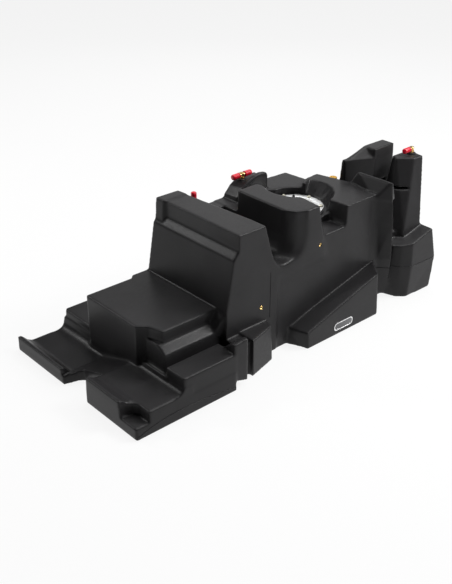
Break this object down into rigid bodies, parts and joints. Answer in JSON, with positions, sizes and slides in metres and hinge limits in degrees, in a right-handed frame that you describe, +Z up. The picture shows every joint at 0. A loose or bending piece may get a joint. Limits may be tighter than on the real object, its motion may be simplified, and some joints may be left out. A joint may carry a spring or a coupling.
{
  "type": "vehicle fuel tank",
  "caption": "Hollow moulded replacement fuel tank for a pickup, stepped to fit a chassis, with sender opening, breather barbs, caps, filler neck and drain.",
  "frame": {"origin": "middle of the footprint, on the ground plane", "axes": "+X along the length from the low tray to the rear towers, +Y away from the side with the shield and label, +Z up"},
  "size_m": [1.31, 0.6143, 0.4805],
  "materials": {
    "black_polyethylene": "rotomoulded, satin, finely textured",
    "black_nylon": "moulded",
    "seal_rubber": "matt",
    "zinc_plated_steel": "bright zinc plate",
    "spring_wire": "drawn",
    "brass": "machined",
    "float_foam": "closed cell",
    "strainer_mesh": "woven nylon sock",
    "red_vinyl": "dip moulded",
    "yellow_vinyl": "dip moulded",
    "label_silver": "printed plate, blank"
  },
  "bodies": {
    "tank": {"tank_shell": "black_polyethylene", "sender_seal": "seal_rubber", "sender_flange": "black_nylon", "sender_lock_ring": "zinc_plated_steel", "ring_bolt_1": "zinc_plated_steel", "ring_bolt_2": "zinc_plated_steel", "ring_bolt_3": "zinc_plated_steel", "ring_bolt_4": "zinc_plated_steel", "ring_bolt_5": "zinc_plated_steel", "ring_bolt_6": "zinc_plated_steel", "pickup_tube": "black_nylon", "return_tube": "black_nylon", "pickup_strainer": "strainer_mesh", "sender_connector": "black_nylon", "level_bracket": "black_nylon", "front_vent_valve": "black_nylon", "front_vent_stem": "brass", "mid_vent_valve": "black_nylon", "mid_vent_tee": "brass", "rear_vent_valve": "black_nylon", "rear_vent_elbow": "brass", "breather_spigot": "black_nylon", "filler_neck": "black_nylon", "drain_bush": "brass", "drain_washer": "seal_rubber", "front_threaded_insert": "brass", "rear_threaded_insert": "brass", "plain_label": "label_silver"},
    "float_arm": {"float_arm": "spring_wire", "level_float": "float_foam"},
    "front_ball": {"front_vent_ball": "float_foam"},
    "mid_ball": {"mid_vent_ball": "float_foam"},
    "rear_ball": {"rear_vent_ball": "float_foam"},
    "front_cap": {"front_vent_cap": "red_vinyl"},
    "mid_cap_a": {"mid_vent_cap_a": "red_vinyl"},
    "mid_cap_b": {"mid_vent_cap_b": "red_vinyl"},
    "rear_cap": {"rear_vent_cap": "red_vinyl"},
    "yellow_cap": {"breather_yellow_cap": "yellow_vinyl"},
    "filler_cap": {"filler_cap": "black_nylon"},
    "drain_plug": {"drain_plug": "zinc_plated_steel"}
  },
  "joints": [
    {"name": "float_swing", "type": "hinge", "parent": "tank", "child": "float_arm", "pos_m": [0.166, -0.0871, 0.15], "axis": [0, 1, 0], "range_deg": [0, 70]},
    {"name": "front_ball_lift", "type": "slide", "parent": "tank", "child": "front_ball", "axis": [0, 0, 1], "range_m": [0, 0.012]},
    {"name": "mid_ball_lift", "type": "slide", "parent": "tank", "child": "mid_ball", "axis": [0, 0, 1], "range_m": [0, 0.012]},
    {"name": "rear_ball_lift", "type": "slide", "parent": "tank", "child": "rear_ball", "axis": [0, 0, 1], "range_m": [0, 0.012]},
    {"name": "front_cap_pull", "type": "slide", "parent": "tank", "child": "front_cap", "axis": [0, 0, 1], "range_m": [0, 0.035]},
    {"name": "mid_cap_a_pull", "type": "slide", "parent": "tank", "child": "mid_cap_a", "axis": [-1, 0, 0], "range_m": [0, 0.035]},
    {"name": "mid_cap_b_pull", "type": "slide", "parent": "tank", "child": "mid_cap_b", "axis": [1, 0, 0], "range_m": [0, 0.035]},
    {"name": "rear_cap_pull", "type": "slide", "parent": "tank", "child": "rear_cap", "axis": [-1, 0, 0], "range_m": [0, 0.035]},
    {"name": "yellow_cap_pull", "type": "slide", "parent": "tank", "child": "yellow_cap", "axis": [0, 0, 1], "range_m": [0, 0.03]},
    {"name": "filler_cap_pull", "type": "slide", "parent": "tank", "child": "filler_cap", "axis": [0, 1, 0], "range_m": [0, 0.03]},
    {"name": "drain_plug_draw", "type": "slide", "parent": "tank", "child": "drain_plug", "axis": [0, 1, 0], "range_m": [0, 0.022]}
  ]
}
